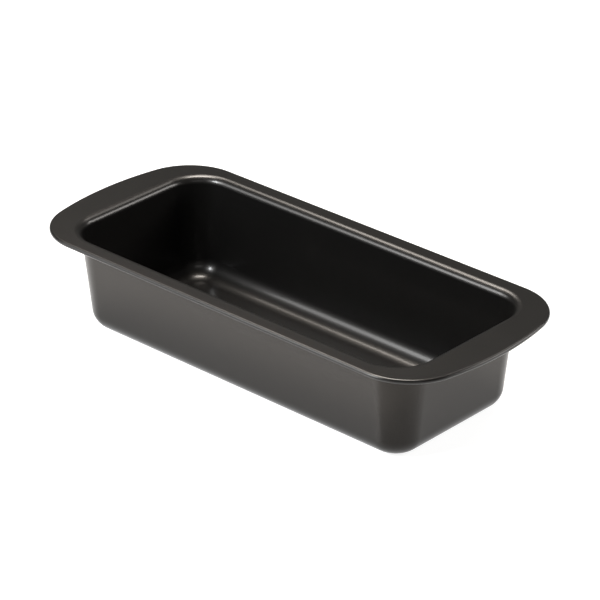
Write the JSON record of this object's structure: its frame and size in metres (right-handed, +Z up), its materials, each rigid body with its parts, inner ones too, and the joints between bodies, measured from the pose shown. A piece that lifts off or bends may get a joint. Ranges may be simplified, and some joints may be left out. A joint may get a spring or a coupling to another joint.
{
  "type": "loaf pan",
  "caption": "Long rectangular pressed-steel loaf pan with drafted walls, rounded corners, a flat flange with bowed end grips and a curled edge.",
  "frame": {"origin": "centre of the base on the rest plane", "axes": "+X along the long side, +Y along the short side, +Z up out of the open top"},
  "size_m": [0.342, 0.151, 0.07],
  "materials": {
    "steel": "satin",
    "nonstick": "satin",
    "outer_coat": "satin"
  },
  "bodies": {
    "root": {"steel_shell": "steel", "inner_nonstick_coating": "nonstick", "outer_coating": "outer_coat"}
  },
  "joints": []
}
